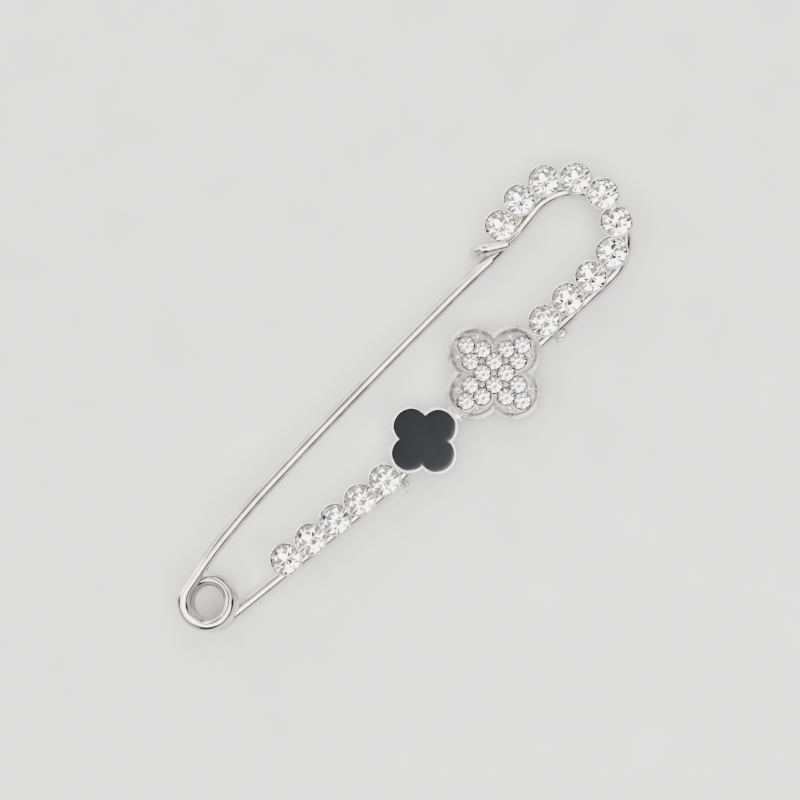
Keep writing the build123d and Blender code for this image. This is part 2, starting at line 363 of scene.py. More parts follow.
def round_bend(before, here, after, radius):
    """Bend at a corner, tangent to both runs: centre + radius * (spoke * cos(turn) + way * sin(turn))."""
    way_in, way_out = unit(here - before), unit(after - here)
    bend = turned_by(before, here, after)
    centre = here + unit(way_out - way_in) * radius / np.cos(bend / 2)
    start = here - way_in * radius * np.tan(bend / 2)
    turn = np.linspace(0, bend, ARC_STEPS)[:, None]
    return centre + radius * (unit(start - centre) * np.cos(turn) + way_in * np.sin(turn))


def bent_run(corners, radius=None):
    """Straight runs with a bend at each inner corner, as large as the shorter run beside it allows."""
    stretches = [corners[:1]]
    for before, here, after in zip(corners, corners[1:], corners[2:]):
        shorter = min(np.linalg.norm(here - before), np.linalg.norm(after - here))
        widest = BEND_SHARE * shorter / np.tan(turned_by(before, here, after) / 2)
        stretches.append(round_bend(before, here, after, radius or widest))
    return np.concatenate(stretches + [corners[-1:]])


def reach(start, way, x):
    """Point where a straight run comes to x: start + way * (x - start's x) / way's x."""
    return start + way * ((x - start[0]) / way[0])


def spaced(stretches):
    """One route through all the stretches, with points evenly spaced along it, and the run to each."""
    points = np.concatenate(stretches)
    moves = np.linalg.norm(np.diff(points, axis=0), axis=1)
    points = points[np.concatenate([[True], moves > SAME_PLACE])]
    run = np.concatenate([[0], np.cumsum(np.linalg.norm(np.diff(points, axis=0), axis=1))])
    even = np.linspace(0, run[-1], int(run[-1] / ROUTE_STEP) + 1)
    return np.stack([np.interp(even, run, points[:, axis]) for axis in range(3)], -1), even


print("each bend has", ARC_STEPS, "points, and a route has one every", ROUTE_STEP, "mm")

# %% [markdown]
# ## The coil
#
# A spring coil could be a helix, but a helix climbs all the way round and meets the straight arm at a
# slant. Here each half turn is a half circle in a slightly tilted plane, level where it meets the next
# one, which is how a coil wound on a peg and pressed flat lies.

# %% Coil
WIRE_R = 0.8
COIL_R = 2.85
COIL_PITCH = 1.78
ARM_SPLAY = 6.3
ARM_SETTLE_RUN = 2.0


def coil_slope(swing):
    """Climb of the coil's wire, swing degrees into a half turn: sin(swing) * quarter pitch / spoke."""
    return np.sin(np.radians(swing)) * (COIL_PITCH / 4) / np.hypot(COIL_R, COIL_PITCH / 4)


ARM_Z = WIRE_R
COIL_BASE_Z = ARM_Z + ARM_SETTLE_RUN * coil_slope(ARM_SPLAY)


def coil_half(half_turn, first=0.0, last=180.0):
    """Half a turn of the coil: middle + spoke * cos(swing) + outward * sin(swing), in a tilted plane."""
    side = -1 if half_turn % 2 == 0 else 1
    middle = np.array([0, 0, COIL_BASE_Z + (half_turn + 0.5) * COIL_PITCH / 2])
    spoke = np.array([0, side * COIL_R, -COIL_PITCH / 4])
    outward = np.array([side * np.linalg.norm(spoke), 0, 0])
    swing = np.radians(np.linspace(first, last, ARC_STEPS))[:, None]
    return middle + spoke * np.cos(swing) + outward * np.sin(swing)


print(f"the coil stands on {COIL_BASE_Z:.2f} mm and its eye is {2 * (COIL_R - WIRE_R):.1f} mm wide")

# %% [markdown]
# ## Frame arm and crook
#
# The arm leaves the coil straight, rises a little under the clovers, and runs down to the crook. Its bends
# are far wider than the wire is thick, as a wire bends by hand. The crook is one exact arc, because it
# was bent round a form. A Bezier curve could follow all this by eye, but arcs and straight runs stay
# tangent to each other when a size changes.

# %% Arm and crook
ARM_LEAN = 1.7
ARM_BEND_X = 27.0
ARM_MIDDLE_X = 39.0
ARM_MIDDLE_RISE = 0.65
ARM_FOOT_X = 52.5
ARM_FOOT_DROP = 1.0
CROOK_X = 64.4
CROOK_R = 6.5
CROOK_TURN = 188.2

arm_start = coil_half(0, first=ARM_SPLAY)[0]
arm_settled = (arm_start + heading(-ARM_SPLAY) * ARM_SETTLE_RUN) * [1, 1, 0] + [0, 0, ARM_Z]
arm_bend = reach(arm_settled, heading(-ARM_SPLAY), ARM_BEND_X)
arm_middle = np.array([ARM_MIDDLE_X, arm_bend[1] + ARM_MIDDLE_RISE, ARM_Z])
arm_foot = np.array([ARM_FOOT_X, arm_middle[1] - ARM_FOOT_DROP, ARM_Z])
crook_start = reach(arm_foot, heading(-ARM_LEAN), CROOK_X)
arm_corners = np.array([arm_start, arm_settled, arm_bend, arm_middle, arm_foot, crook_start])

crook_centre = crook_start + heading(90 - ARM_LEAN) * CROOK_R
crook_end_heading = CROOK_TURN - ARM_LEAN
crook_end = crook_centre + heading(crook_end_heading - 90) * CROOK_R
crook_swing = np.linspace(-90 - ARM_LEAN, crook_end_heading - 90, ARC_STEPS)
crook_arc = crook_centre + np.stack([heading(swing) for swing in crook_swing]) * CROOK_R
print("the crook turns about", crook_centre.round(2).tolist(), "mm")

# %% [markdown]
# ## Catch
#
# The wire goes on from the crook, turns under the needle, folds straight up and comes back over it. That
# fold is the whole catch: the needle springs outwards against it and can't slip off. It could be a piece of
# its own, but a seam would show in the polish, so the frame's wire is one route, from the cut in the coil
# to the hammered end of the fold.

# %% Catch and the frame's route
CATCH_X = 57.55
CATCH_TURN = -40.0
CATCH_BEND_R = 3.0
CATCH_BACK_RUN = 1.7
CATCH_GAP = 1.62
CATCH_FRONT_RUN = 2.4
CATCH_TIP_R = 0.62

leg_corner = reach(crook_end, heading(crook_end_heading), CATCH_X)
catch_heading = crook_end_heading + CATCH_TURN
catch_rise = (2 * WIRE_R + CATCH_GAP) / 2
fold_foot = leg_corner + heading(catch_heading) * CATCH_BACK_RUN
fold_top = fold_foot + np.array([0, 0, 2 * catch_rise])
fold_swing = np.radians(np.linspace(0, 180, ARC_STEPS))[:, None]
fold_middle = fold_foot + np.array([0, 0, catch_rise])
fold_spread = heading(catch_heading) * np.sin(fold_swing) - [0, 0, 1] * np.cos(fold_swing)
fold_arc = fold_middle + catch_rise * fold_spread
catch_end = fold_top - heading(catch_heading) * (CATCH_FRONT_RUN + CATCH_TIP_R)

frame_route, frame_run = spaced([
    coil_half(2)[::-1],
    coil_half(1)[::-1],
    coil_half(0, first=ARM_SPLAY)[::-1],
    bent_run(arm_corners),
    crook_arc,
    bent_run(np.array([crook_end, leg_corner, fold_foot]), CATCH_BEND_R),
    fold_arc,
    catch_end[None],
])
print(f"the frame's wire is {frame_run[-1]:.1f} mm long")

# %% [markdown]
# ## Needle
#
# The needle springs from the top of the coil, swells gently away from the frame and comes back down into
# the catch. It turns about the coil on its own body, so it is a second route, which starts at a narrow cut
# in the coil. Its bends are given as shares of the way from the coil to the catch, so they follow both.

# %% The needle's route
COIL_CUT_GAP = 0.14
NEEDLE_EXIT = 11.0
NEEDLE_FIRST_RUN = 5.7
NEEDLE_CLEARANCE = 0.2
NEEDLE_HOOK_DROP = 0.13
NEEDLE_BENDS = (
    # along, across, down
    (0.235, 0.69, 0.12),
    (0.45, 0.878, 0.36),
    (0.70, 1.007, 0.64),
    (0.92, 1.043, 0.87),
)
NEEDLE_TAPER_RUN = 5.2
NEEDLE_TAPER_LEAD = 2.1
NEEDLE_TIP_R = 0.15

needle_start = coil_half(4, last=180 - NEEDLE_EXIT)[-1]
needle_way = heading(NEEDLE_EXIT, coil_slope(180 - NEEDLE_EXIT))
hook_z = 3 * WIRE_R + NEEDLE_CLEARANCE
needle_hook = np.array([leg_corner[0] - NEEDLE_TAPER_LEAD, leg_corner[1] - NEEDLE_HOOK_DROP, hook_z])
needle_corners = np.concatenate([
    [needle_start, needle_start + needle_way * NEEDLE_FIRST_RUN],
    needle_start + (needle_hook - needle_start) * np.array(NEEDLE_BENDS),
    [needle_hook],
])
last_way = unit(needle_corners[-1] - needle_corners[-2])
needle_tip = needle_hook + last_way * (NEEDLE_TAPER_RUN + NEEDLE_TIP_R)
needle_route, needle_run = spaced([
    coil_half(3, first=np.degrees(COIL_CUT_GAP / COIL_R)),
    coil_half(4, last=180 - NEEDLE_EXIT),
    bent_run(needle_corners),
    needle_tip[None],
])
print(f"the needle's wire is {needle_run[-1]:.1f} mm long")

# %% [markdown]
# ## The wire, drawn and bent
#
# Drawn wire is round, and stays round in slow bends. Its cut end in the coil has a small rounded edge, the
# front of the catch is hammered down and tapers, and the needle is ground to a point. So the radius along
# the route is the one thing that changes, and it is a short formula of the run that is left to the end.
# A curve with a round bevel could carry the circle too, but as an array the tube has rows just where its
# ends need them.

# %% Tube helpers
WIRE_COLUMNS = 32
CUT_EDGE = 0.08
CUT_ROWS = (0.0, 0.02, 0.05)
TIP_ROWS = 9
TIP_CLOSE = 0.08
LEAST_TIP = 1e-4


def tube(route, radius, side):
    """Tube round a route: route + radius * (side * cos(turn) + rise * sin(turn)), rise = way x side."""
    way = unit(np.gradient(route, axis=0))
    side = unit(side - way * np.sum(side * way, axis=1, keepdims=True))
    rise = np.cross(way, side)
    turn = np.linspace(0, 2 * np.pi, WIRE_COLUMNS, endpoint=False)[None, :, None]
    ring = side[:, None] * np.cos(turn) + rise[:, None] * np.sin(turn)
    return route[:, None] + radius[:, None, None] * ring


def level_side(route):
    """Level direction across a route at each of its points: up x way."""
    return np.cross([0, 0, 1], unit(np.gradient(route, axis=0)))


def cut_end(run):
    """Share of the full radius just after a cut end: a quarter circle over the length of its edge."""
    near = np.clip(run / CUT_EDGE, 0, 1)
    return 1 - CUT_EDGE / WIRE_R * (1 - np.sqrt(np.clip(near * (2 - near), 0, 1)))


def tapered(left, taper_run, tip_r):
    """Radius by the run left to the end: full, then an even taper, then a round tip of radius tip_r."""
    slope = tip_r + (WIRE_R - tip_r) * np.clip((left - tip_r) / taper_run, 0, 1)
    tip = np.sqrt(np.clip(left * (2 * tip_r - left), LEAST_TIP, None))
    return np.where(left < tip_r, np.minimum(slope, tip), slope)


def wire_stations(route, run, taper_run, tip_r):
    """Runs, points and radii along a wire, with a few more rows at its cut end and round its tip."""
    places = np.concatenate([CUT_ROWS, run[1:]])
    close = run[-1] - tip_r * (1 - np.cos(np.linspace(np.pi / 2, TIP_CLOSE, TIP_ROWS)))
    places = np.concatenate([places[places < run[-1] - tip_r], close])
    points = np.stack([np.interp(places, run, route[:, axis]) for axis in range(3)], -1)
    return places, points, tapered(run[-1] - places, taper_run, tip_r) * cut_end(places)


print("a face of the wire is", round(2 * np.pi * WIRE_R / WIRE_COLUMNS, 2), "mm wide")

# %% Needle wire
needle_places, needle_points, needle_radius = wire_stations(
    needle_route, needle_run, NEEDLE_TAPER_RUN, NEEDLE_TIP_R
)
needle_wire = add_piece(
    "needle_wire", closed_shell(tube(needle_points, needle_radius, level_side(needle_points))),
    [WIRE_METAL], "needle", ["needle"],
)
describe(needle_wire)
print(len(needle_places), "rows along the needle")

# %% [markdown]
# The frame's wire is made the same way, with one care. Where the fold stands upright, a level direction
# across the route swings round suddenly and would twist the tube, so from the fold on, the side is held
# square to the catch.

# %% Frame wire
frame_places, frame_points, frame_radius = wire_stations(
    frame_route, frame_run, CATCH_FRONT_RUN, CATCH_TIP_R
)
frame_side = level_side(frame_points)
fold_run = frame_run[-1] - CATCH_FRONT_RUN - CATCH_TIP_R - np.pi * catch_rise
frame_side[frame_places > fold_run] = np.cross([0, 0, 1], heading(catch_heading))
frame_wire = add_soldered(
    "frame_wire", closed_shell(tube(frame_points, frame_radius, frame_side)), [WIRE_METAL]
)
describe(frame_wire)
print(len(frame_places), "rows along the frame's wire")

# %% [markdown]
# ## Rows of stones
#
# Ten stones go round the crook and five stand beside the arm. The row round the crook has an arc of its
# own, a little larger than the wire's and set towards the needle, so it starts inside the crook, crosses
# the wire at its far end and runs on outside the leg. The places could be a list, but then the pitch
# round the bend would be uneven. Here a place is a run along a line, an arc and a second line, and each cup
# is one pitch farther along than the last. The lower row is a straight line.

# %% Places of the cups
CROOK_STONES = 10
CROOK_ROW_PITCH = 4.01
CROOK_ROW_END_X = 54.62
CROOK_ROW_SHIFT = (-0.18, 1.61, 0.0)
CROOK_ROW_SPREAD = 0.23
CROOK_ROW_OVERTURN = 2.4
ARM_STONES = 5
ARM_ROW_PITCH = 3.95
ARM_ROW_END_X = 26.45
ARM_ROW_INSET = 0.96

row_r = CROOK_R + CROOK_ROW_SPREAD
row_turn = CROOK_TURN + CROOK_ROW_OVERTURN
row_arc_run = row_r * np.radians(row_turn)
row_centre = crook_centre * [1, 1, 0] + CROOK_ROW_SHIFT
row_foot = row_centre + heading(-90 - ARM_LEAN) * row_r
row_end = row_centre + heading(row_turn - 90 - ARM_LEAN) * row_r


def crook_row(run):
    """Place at a run along the crook's row, counted from its arc's start: on a line, the arc, a line."""
    if run < 0:
        return row_foot + heading(-ARM_LEAN) * run
    if run < row_arc_run:
        return row_centre + heading(np.degrees(run / row_r) - 90 - ARM_LEAN) * row_r
    return row_end + heading(row_turn - ARM_LEAN) * (run - row_arc_run)


def wire_on_arm(x):
    """Y of the frame arm's centre line at a place along it."""
    return np.interp(x, arm_corners[:, 0], arm_corners[:, 1])


row_start = (CROOK_ROW_END_X - row_foot[0]) / np.cos(np.radians(ARM_LEAN))
crook_cups = [crook_row(row_start + CROOK_ROW_PITCH * k) for k in range(CROOK_STONES)]
arm_row_start = np.array([ARM_ROW_END_X, wire_on_arm(ARM_ROW_END_X) + ARM_ROW_INSET, 0])
arm_cups = [arm_row_start - heading(-ARM_SPLAY) * (ARM_ROW_PITCH * k) for k in range(ARM_STONES)]
cup_spots = np.array(crook_cups[::-1] + arm_cups)
print(len(cup_spots), "cups, the first at", cup_spots[0].round(2).tolist(), "mm")

# %% [markdown]
# ## Profile of a cup
#
# A cup is a thin cone with a rim that stands a hair over the girdle of its stone. One profile makes all of
# it, when it is turned about the cup's axis: it runs from the foot, up the cone, over the rounded lip and
# down the seat into the hollow under the stone. A Screw modifier could turn it, but as an array each cup
# can wander a little. The hollow follows the stone's own cut, so the shares of the stone's diameter are
# needed here already.

# %% Cup profile
GLASS_D = 3.75
GIRDLE_SHARE = 0.03
PAVILION_SHARE = 0.43
CULET_SHARE = 0.06
STONE_GAP = 0.06
CUP_R = 2.125
CUP_FOOT_R = 1.15
CUP_FOOT_Z = 1.0
FOOT_EDGE = 0.08
RIM_Z = 4.05
RIM_H = 0.45
GIRDLE_DROP = 0.12
AXIS_HOLE = 0.05

GIRDLE_Z = RIM_Z - GIRDLE_DROP
SEAT_R = GLASS_D / 2 + STONE_GAP
CULET_Z = GIRDLE_Z - (GIRDLE_SHARE + PAVILION_SHARE) * GLASS_D
CUP_PROFILE = np.array([
    # distance from the axis, height, share of the rim's wander: first the foot and the cone
    (AXIS_HOLE, CUP_FOOT_Z, 0.0),
    (CUP_FOOT_R - FOOT_EDGE, CUP_FOOT_Z, 0.0),
    (CUP_FOOT_R, CUP_FOOT_Z + FOOT_EDGE, 0.0),
    ((CUP_FOOT_R + CUP_R) / 2, (CUP_FOOT_Z + RIM_Z - RIM_H) / 2, 0.3),
    # the rim and its rounded lip
    (CUP_R - 0.06, RIM_Z - RIM_H - 0.12, 0.7),
    (CUP_R, RIM_Z - RIM_H + 0.05, 1.0),
    (CUP_R + 0.01, RIM_Z - 0.16, 1.0),
    (CUP_R - 0.01, RIM_Z - 0.07, 1.0),
    (CUP_R - 0.05, RIM_Z - 0.02, 1.0),
    (CUP_R - 0.10, RIM_Z, 1.0),
    (SEAT_R + 0.03, RIM_Z - 0.02, 0.7),
    # the seat and the hollow
    (SEAT_R, RIM_Z - 0.07, 0.3),
    (SEAT_R, GIRDLE_Z - GIRDLE_SHARE * GLASS_D, 0.0),
    (SEAT_R * 0.55, (GIRDLE_Z + CULET_Z) / 2 - 0.15, 0.0),
    (GLASS_D * CULET_SHARE / 2 + STONE_GAP, CULET_Z - STONE_GAP, 0.0),
    (AXIS_HOLE, CULET_Z - STONE_GAP, 0.0),
])
# the seat starts at this row of the profile, and its faces from here on get the dark painted shade
CUP_SEAT_ROW = 11
print(f"the rim is {CUP_R - SEAT_R:.2f} mm wide and stands {GIRDLE_DROP} mm over the girdle")

# %% [markdown]
# ## Cups
#
# The cups are cast in one strip and then rubbed down by hand, so no two rims are quite the same: each
# wanders by a few hundredths of a millimetre, in and out and up and down. A sum of a few sines with
# chance phases closes on itself round the ring, and a fixed seed gives the same cups each time.

# %% Cups
CUP_COLUMNS = 96
RIM_WANDER = 0.035
WANDER_WAVES = (2, 3, 5, 8, 13)
WANDER_SEED = 11


def wander(turn, chance):
    """Smooth wandering round a ring: a sum of sin(n * turn + phase) / sqrt(n), with chance phases."""
    phases = chance.uniform(0, 2 * np.pi, len(WANDER_WAVES))
    waves = sum(np.sin(n * turn + phase) / np.sqrt(n) for n, phase in zip(WANDER_WAVES, phases))
    return waves / len(WANDER_WAVES) * 2


def cup(spot, chance):
    """Cup turned about an upright axis: (r * cos(turn), r * sin(turn), z), wandering in r, then in z."""
    turn = np.linspace(0, 2 * np.pi, CUP_COLUMNS, endpoint=False)
    r, z, share = CUP_PROFILE.T[:, :, None]
    r = r + RIM_WANDER * share * wander(turn, chance)
    z = z + RIM_WANDER * share * wander(turn, chance)
    return spot + np.stack([r * np.cos(turn), r * np.sin(turn), z], -1)


chance = np.random.default_rng(WANDER_SEED)
cup_shells = [closed_shell(cup(spot, chance)) for spot in cup_spots]
stone_cups = add_soldered("stone_cups", join_shells(cup_shells), [CAST_METAL, PAINTED_SHADE_HOLLOW])
# the seat and the hollow of each cup are given the dark painted shade
painted_shade_faces = np.repeat(np.arange(len(CUP_PROFILE) - 1) >= CUP_SEAT_ROW, CUP_COLUMNS)
paint_faces(stone_cups, np.tile(np.append(painted_shade_faces, [False, True]), len(cup_spots)))
describe(stone_cups)

# %% [markdown]
# ## Outline of a clover
#
# Both clovers are cast trays. Their outline is four equal circles on the arms of a cross, joined by the
# square between them. It could be drawn as four arcs, but one formula gives the whole of it: seen from the
# middle, a circle of radius r whose centre lies o away is at the distance
# o * cos(turn) + sqrt(r^2 - o^2 * sin(turn)^2). A wall or a bevel only makes r smaller.

# %% Clover helpers
CLOVER_COLUMNS = 240
QUARTERS = np.radians((0, 90, 180, 270))


def clover_reach(turn, lobe_r, offset):
    """Distance from the clover's middle to its outline at a turn, with lobes along +X, +Y, -X and -Y."""
    folded = (turn + np.pi / 4) % (np.pi / 2) - np.pi / 4
    return offset * np.cos(folded) + np.sqrt(lobe_r ** 2 - (offset * np.sin(folded)) ** 2)


def clover_ring(middle, turned, profile, lobe_r, offset):
    """Profile carried round a clover: each row is the outline of lobes smaller by the row's inset."""
    turn = np.linspace(0, 2 * np.pi, CLOVER_COLUMNS, endpoint=False)
    inset, z = np.array(profile).T[:, :, None]
    r = clover_reach(turn, lobe_r - inset, offset)
    way = turn + np.radians(turned)
    return middle + np.stack([r * np.cos(way), r * np.sin(way), z + 0 * r], -1)


print("a clover of lobes 1 and offset 1 reaches", clover_reach(0.0, 1.0, 1.0), "along its arms")

# %% [markdown]
# ## Tray of the stone-set clover
#
# The larger tray has a lip of two ridges with a groove between them, and an inner wall that slopes down to
# the bed of the small stones. A bevel could only round its edges, but a profile gives each ridge its own
# height and width. It ends under the bed, so that no gap opens between the two.

# %% Stone-set tray
DECK_Z = 1.35
PAVE_X = 45.6
PAVE_INSET = 0.67
PAVE_TURN = 0.0
PAVE_LOBE_R = 3.5
PAVE_LOBE_OFFSET = 3.48
PAVE_RIM = 0.5
PAVE_SLOPE = 0.35
PAVE_RECESS = 0.62
WELL_ROOM = 1.0

PAVE_FLOOR_Z = RIM_Z - PAVE_RECESS
TRAY_FOOT = (
    # inset, height
    (0.30, DECK_Z),
    (0.08, DECK_Z + 0.06),
    (0.00, DECK_Z + 0.25),
)
PAVE_PROFILE = (
    *TRAY_FOOT,
    # the outer ridge of the lip
    (0.02, RIM_Z - 0.50),
    (0.00, RIM_Z - 0.26),
    (0.02, RIM_Z - 0.14),
    (0.06, RIM_Z - 0.06),
    (0.11, RIM_Z - 0.015),
    (0.16, RIM_Z),
    (0.21, RIM_Z - 0.02),
    (0.25, RIM_Z - 0.06),
    # the groove and the inner ridge
    (0.28, RIM_Z - 0.12),
    (0.31, RIM_Z - 0.06),
    (0.35, RIM_Z - 0.02),
    (0.40, RIM_Z),
    (0.45, RIM_Z - 0.02),
    (PAVE_RIM, RIM_Z - 0.07),
    # the sloping inner wall
    (PAVE_RIM + 0.03, RIM_Z - 0.18),
    (PAVE_RIM + 0.06, RIM_Z - 0.23),
    (PAVE_RIM + PAVE_SLOPE - 0.08, PAVE_FLOOR_Z + 0.06),
    (PAVE_RIM + PAVE_SLOPE, PAVE_FLOOR_Z + 0.01),
    # the part under the bed
    (PAVE_RIM + PAVE_SLOPE + 0.06, PAVE_FLOOR_Z - 0.15),
    (PAVE_RIM + PAVE_SLOPE + 0.06, PAVE_FLOOR_Z - WELL_ROOM),
)
pave_middle = np.array([PAVE_X, wire_on_arm(PAVE_X) + PAVE_INSET, 0])
pave_ring = clover_ring(pave_middle, PAVE_TURN, PAVE_PROFILE, PAVE_LOBE_R, PAVE_LOBE_OFFSET)
pave_tray = add_soldered("pave_tray", closed_shell(pave_ring), [CAST_METAL, PAINTED_SHADE_FLOOR])
# the sloping inner wall and the part under the bed get the greyer painted shade
slope = np.array(PAVE_PROFILE)[1:, 0] > PAVE_RIM
paint_faces(pave_tray, np.append(np.repeat(slope, CLOVER_COLUMNS), [False, True]))
describe(pave_tray)

# %% [markdown]
# ## Tray of the enamelled clover
#
# The smaller tray has one broad, rounded lip and an upright inner wall that holds the enamel. It sits a
# few degrees askew on the wire, as a part that is soldered by hand does.

# %% Enamelled tray
ENAMEL_X = 33.45
ENAMEL_INSET = 0.66
ENAMEL_TURN = -3.0
ENAMEL_LOBE_R = 2.15
ENAMEL_LOBE_OFFSET = 2.4
ENAMEL_RIM = 0.45
ENAMEL_DEPTH = 0.8

ENAMEL_PROFILE = (
    *TRAY_FOOT,
    # the lip
    (0.00, RIM_Z - 0.26),
    (0.03, RIM_Z - 0.12),
    (0.09, RIM_Z - 0.04),
    (0.17, RIM_Z - 0.01),
    (0.28, RIM_Z),
    (0.37, RIM_Z - 0.02),
    (0.43, RIM_Z - 0.08),
    # the upright inner wall
    (ENAMEL_RIM, RIM_Z - 0.18),
    (ENAMEL_RIM, RIM_Z - ENAMEL_DEPTH),
)
enamel_middle = np.array([ENAMEL_X, wire_on_arm(ENAMEL_X) + ENAMEL_INSET, 0])
enamel_outer_r = ENAMEL_LOBE_R + ENAMEL_RIM
enamel_ring = clover_ring(
    enamel_middle, ENAMEL_TURN, ENAMEL_PROFILE, enamel_outer_r, ENAMEL_LOBE_OFFSET
)
enamel_tray = add_soldered("enamel_tray", closed_shell(enamel_ring), [CAST_METAL])
describe(enamel_tray)

# %% [markdown]
# ## Places on the bed
#
# Of the sixteen small stones, four stand in a square round the middle and three in each lobe. Two of the
# three carry the square lattice on, and the third nests against them, so it lies sqrt(3) / 2 of a pitch
# farther out. A post stands in each square of four stones, and two grains of metal hold the outer stone of
# each lobe. One quarter is given, and the others are the same quarter turned.

# %% Places of small stones, posts and grains
PAVE_PITCH = 2.1
PAVE_GLASS_D = 2.04
GRAIN_ALONG = 4.6
GRAIN_ACROSS = 1.72

lobe_stones = np.array([(0.5, 0.5), (1.5, 0.5), (1.5, -0.5), (1.5 + np.sqrt(3) / 2, 0.0)]) * PAVE_PITCH
lobe_grains = np.array([(GRAIN_ALONG, -GRAIN_ACROSS), (GRAIN_ALONG, GRAIN_ACROSS)])
quarter_turns = [np.array([[np.cos(a), np.sin(a)], [-np.sin(a), np.cos(a)]]) for a in QUARTERS]
pave_spots = np.concatenate([lobe_stones @ turned for turned in quarter_turns])
grain_spots = np.concatenate([lobe_grains @ turned for turned in quarter_turns])
post_spots = np.array([(0, 0), (1, 0), (0, 1), (-1, 0), (0, -1)]) * PAVE_PITCH
print(len(pave_spots), "small stones,", len(post_spots), "posts and", len(grain_spots), "grains")

# %% [markdown]
# ## Bed of the small stones
#
# Each small stone sits in a drilled, cone-shaped well with a thin raised ring round it, and a four-sided
# post of metal rises between four wells. All of this could be cut out of a plate with booleans, but it has
# no overhang, so it is one height field over the tray: each form is a short formula of the distance to the
# nearest stone or post. Its edge ends under the tray's sloping wall.

# %% Height of the bed
WELL_EDGE_DEPTH = 0.16
WELL_DEPTH = 0.88
WELL_LIP = 0.06
WELL_LIP_RUN = 0.07
RING_RISE = 0.12
RING_OUT = 0.12
RING_WIDTH = 0.07
POST_HALF = 0.40
POST_RISE = 0.34
POST_SLOPE_RUN = 0.16
POST_STONE_GAP = 0.02
POST_CUT_RUN = 0.08


def step_up(value):
    """Smooth step from 0 to 1 as value goes from 0 to 1: v * v * (3 - 2 * v)."""
    value = np.clip(value, 0, 1)
    return value * value * (3 - 2 * value)


def bed_height(x, y):
    """Height over the floor: the larger of a bell-shaped ring and a post, less a cone-shaped well."""
    from_x, from_y = x[..., None] - pave_spots[:, 0], y[..., None] - pave_spots[:, 1]
    across = np.sqrt(from_x ** 2 + from_y ** 2).min(-1)
    edge = PAVE_GLASS_D / 2
    ring = RING_RISE * np.exp(-((across - edge - RING_OUT) / RING_WIDTH) ** 2)
    cone = WELL_EDGE_DEPTH + (WELL_DEPTH - WELL_EDGE_DEPTH) * np.clip(1 - across / edge, 0, 1)
    well = -cone * step_up((edge + WELL_LIP - across) / WELL_LIP_RUN)
    square = np.maximum(abs(x[..., None] - post_spots[:, 0]), abs(y[..., None] - post_spots[:, 1])).min(-1)
    post_slopes = POST_RISE * step_up((POST_HALF - square) / POST_SLOPE_RUN)
    post = post_slopes * step_up((across - edge - POST_STONE_GAP) / POST_CUT_RUN)
    return np.maximum(ring, post) + well


well_depth = -bed_height(pave_spots[:1, 0], pave_spots[:1, 1])[0]
print(f"a well is {well_depth:.2f} mm deep in its middle")

# %% Bed
BED_STEP = 0.055
BED_OVERLAP = 0.03
# wells deeper than this under the bed's floor get the dark painted shade
SHADE_PAINT_DEPTH = 0.05


def bed_shell(middle):
    """Grid of squares over the tray, keeping those that lie inside the foot of its sloping wall."""
    half = PAVE_LOBE_OFFSET + PAVE_LOBE_R
    line = np.arange(-half, half, BED_STEP)
    x, y = np.meshgrid(line, line)
    foot_lobe_r = PAVE_LOBE_R - PAVE_RIM - PAVE_SLOPE + BED_OVERLAP
    inside = np.hypot(x, y) < clover_reach(np.arctan2(y, x), foot_lobe_r, PAVE_LOBE_OFFSET)
    points = middle + np.stack([x, y, PAVE_FLOOR_Z + bed_height(x, y)], -1).reshape(-1, 3)
    faces = grid_faces(len(line), len(line), False)
    faces = faces[inside.reshape(-1)[faces].all(1)]
    used, renumbered = np.unique(faces, return_inverse=True)
    return points[used], renumbered.reshape(-1, 4).tolist()


bed_points, bed_faces = bed_shell(pave_middle)
# the whole bed lies in the tray's recess and is given the greyer painted shade
pave_bed = add_soldered("pave_bed", (bed_points, bed_faces), [PAINTED_SHADE_FLOOR, PAINTED_SHADE_HOLLOW])
paint_faces(pave_bed, bed_points[bed_faces, 2].mean(1) < PAVE_FLOOR_Z - SHADE_PAINT_DEPTH)
print("pave_bed:", 2 * len(pave_bed.data.polygons), "triangles")

# %% [markdown]
# ## Grains
#
# The grains that hold the outer stones are round beads of metal, half sunk in the bed. Blender has a
# sphere of its own, but the solder needs boxy and flattened balls as well, so one function makes both: it
# raises the sines and cosines of a sphere to a power.

# %% Grain beads
BALL_POLE = 0.06
GRAIN_R = 0.4
GRAIN_LIFT = 0.06


def signed_power(value, power):
    """The size of a value raised to a power, with the value's own sign."""
    return np.sign(value) * np.abs(value) ** power


def ball(middle, half, rows=14, columns=24, squareness=2.0):
    """Ball with half-sizes. Its sines and cosines are raised to 2 / squareness: 2 is round, 4 is boxy."""
    rise = np.linspace(-np.pi / 2 + BALL_POLE, np.pi / 2 - BALL_POLE, rows)[:, None]
    turn = np.linspace(0, 2 * np.pi, columns, endpoint=False)[None, :]
    power = 2 / squareness
    out = signed_power(np.cos(rise), power)
    shape = np.stack([
        out * signed_power(np.cos(turn), power),
        out * signed_power(np.sin(turn), power),
        signed_power(np.sin(rise), power) + 0 * turn,
    ], -1)
    return middle + shape * half


grain_z = PAVE_FLOOR_Z + GRAIN_LIFT
grain_shells = [closed_shell(ball(pave_middle + [x, y, grain_z], GRAIN_R)) for x, y in grain_spots]
grain_beads = add_soldered("grain_beads", join_shells(grain_shells), [CAST_METAL])
describe(grain_beads)

# %% [markdown]
# ## Solder
#
# The two trays are joined by a web of solder, with a small bead on its corner. A lumpy drop is left under
# the lowest crook stone, and a burr with a fine thread by the enamelled clover. Solder freezes round.
# Metaballs would melt into each other, but at this size plain balls that overlap look the same and keep
# the sizes that they are given. The thread is a thin tube.

# %% Web between the trays
WEB_X = 38.75
WEB_HALF = (0.72, 1.2, 1.3)
WEB_BEAD_PLACE = (-0.25, -1.12, 1.12)
WEB_BEAD_R = 0.24

